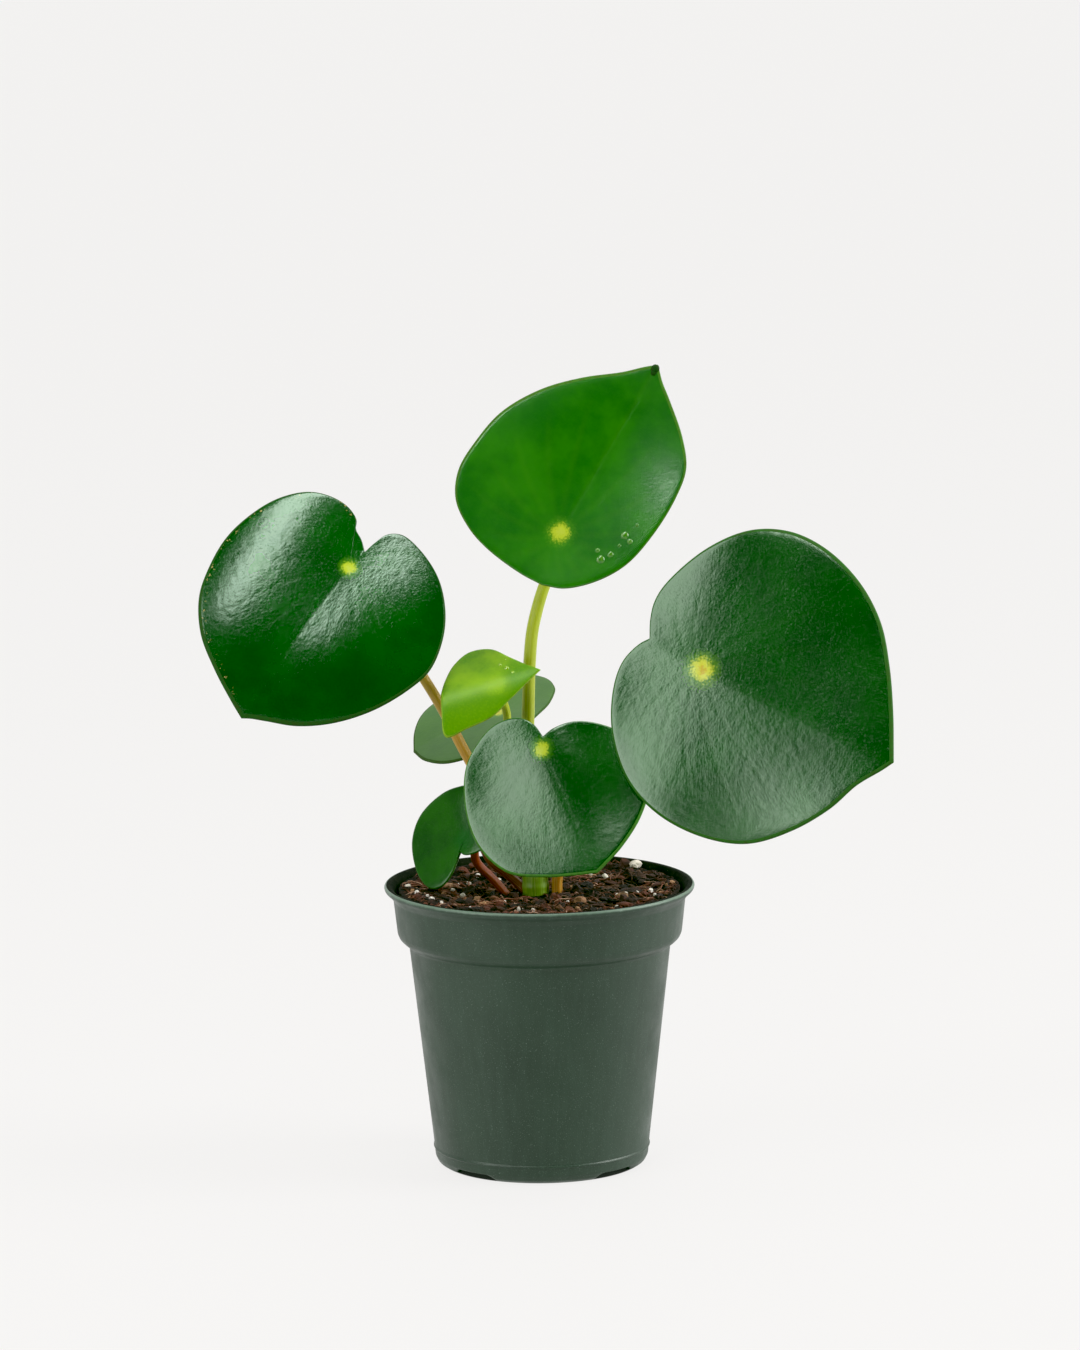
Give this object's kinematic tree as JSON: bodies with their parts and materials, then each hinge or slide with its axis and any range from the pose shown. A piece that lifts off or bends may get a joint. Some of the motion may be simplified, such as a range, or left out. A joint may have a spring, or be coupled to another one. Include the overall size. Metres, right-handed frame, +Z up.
{
  "type": "potted peperomia",
  "caption": "Young peperomia with thick, glossy shield-shaped leaves on round stalks from one fleshy stem, growing in soil in a tapered plastic nursery pot.",
  "frame": {"origin": "middle of the pot's underside, on the surface that it stands on", "axes": "+Z up along the pot's axis; -Y is the plant's front, the side that its large leaves face; +X to the right seen from the front"},
  "size_m": [0.2298, 0.1198, 0.2713],
  "materials": {
    "pot": "satin moulded green plastic with a fine speckle",
    "soil": "dark peat with bark chips and perlite grains",
    "stem": "fleshy green",
    "roots": "pale fleshy",
    "lime_stalk": "smooth, lime green",
    "tan_stalk": "smooth, orange tan",
    "red_stalk": "smooth, red brown",
    "dark_leaf": "glossy, thick, very dark green",
    "bright_leaf": "glossy, thick, bright green",
    "lime_leaf": "satin, soft lime green"
  },
  "bodies": {
    "root": {"pot": "pot", "soil": "soil", "main_stem": "stem", "roots": "roots", "leaf_stalk_top": "lime_stalk", "leaf_stalk_left": "tan_stalk", "leaf_stalk_right": "tan_stalk", "leaf_stalk_front": "lime_stalk", "leaf_stalk_back": "red_stalk", "leaf_stalk_young": "lime_stalk", "leaf_stalk_lower_left": "red_stalk", "leaf_top": "bright_leaf", "leaf_left": "dark_leaf", "leaf_right": "dark_leaf", "leaf_front": "dark_leaf", "leaf_back": "dark_leaf", "leaf_young": "lime_leaf", "leaf_lower_left": "dark_leaf"}
  },
  "joints": []
}
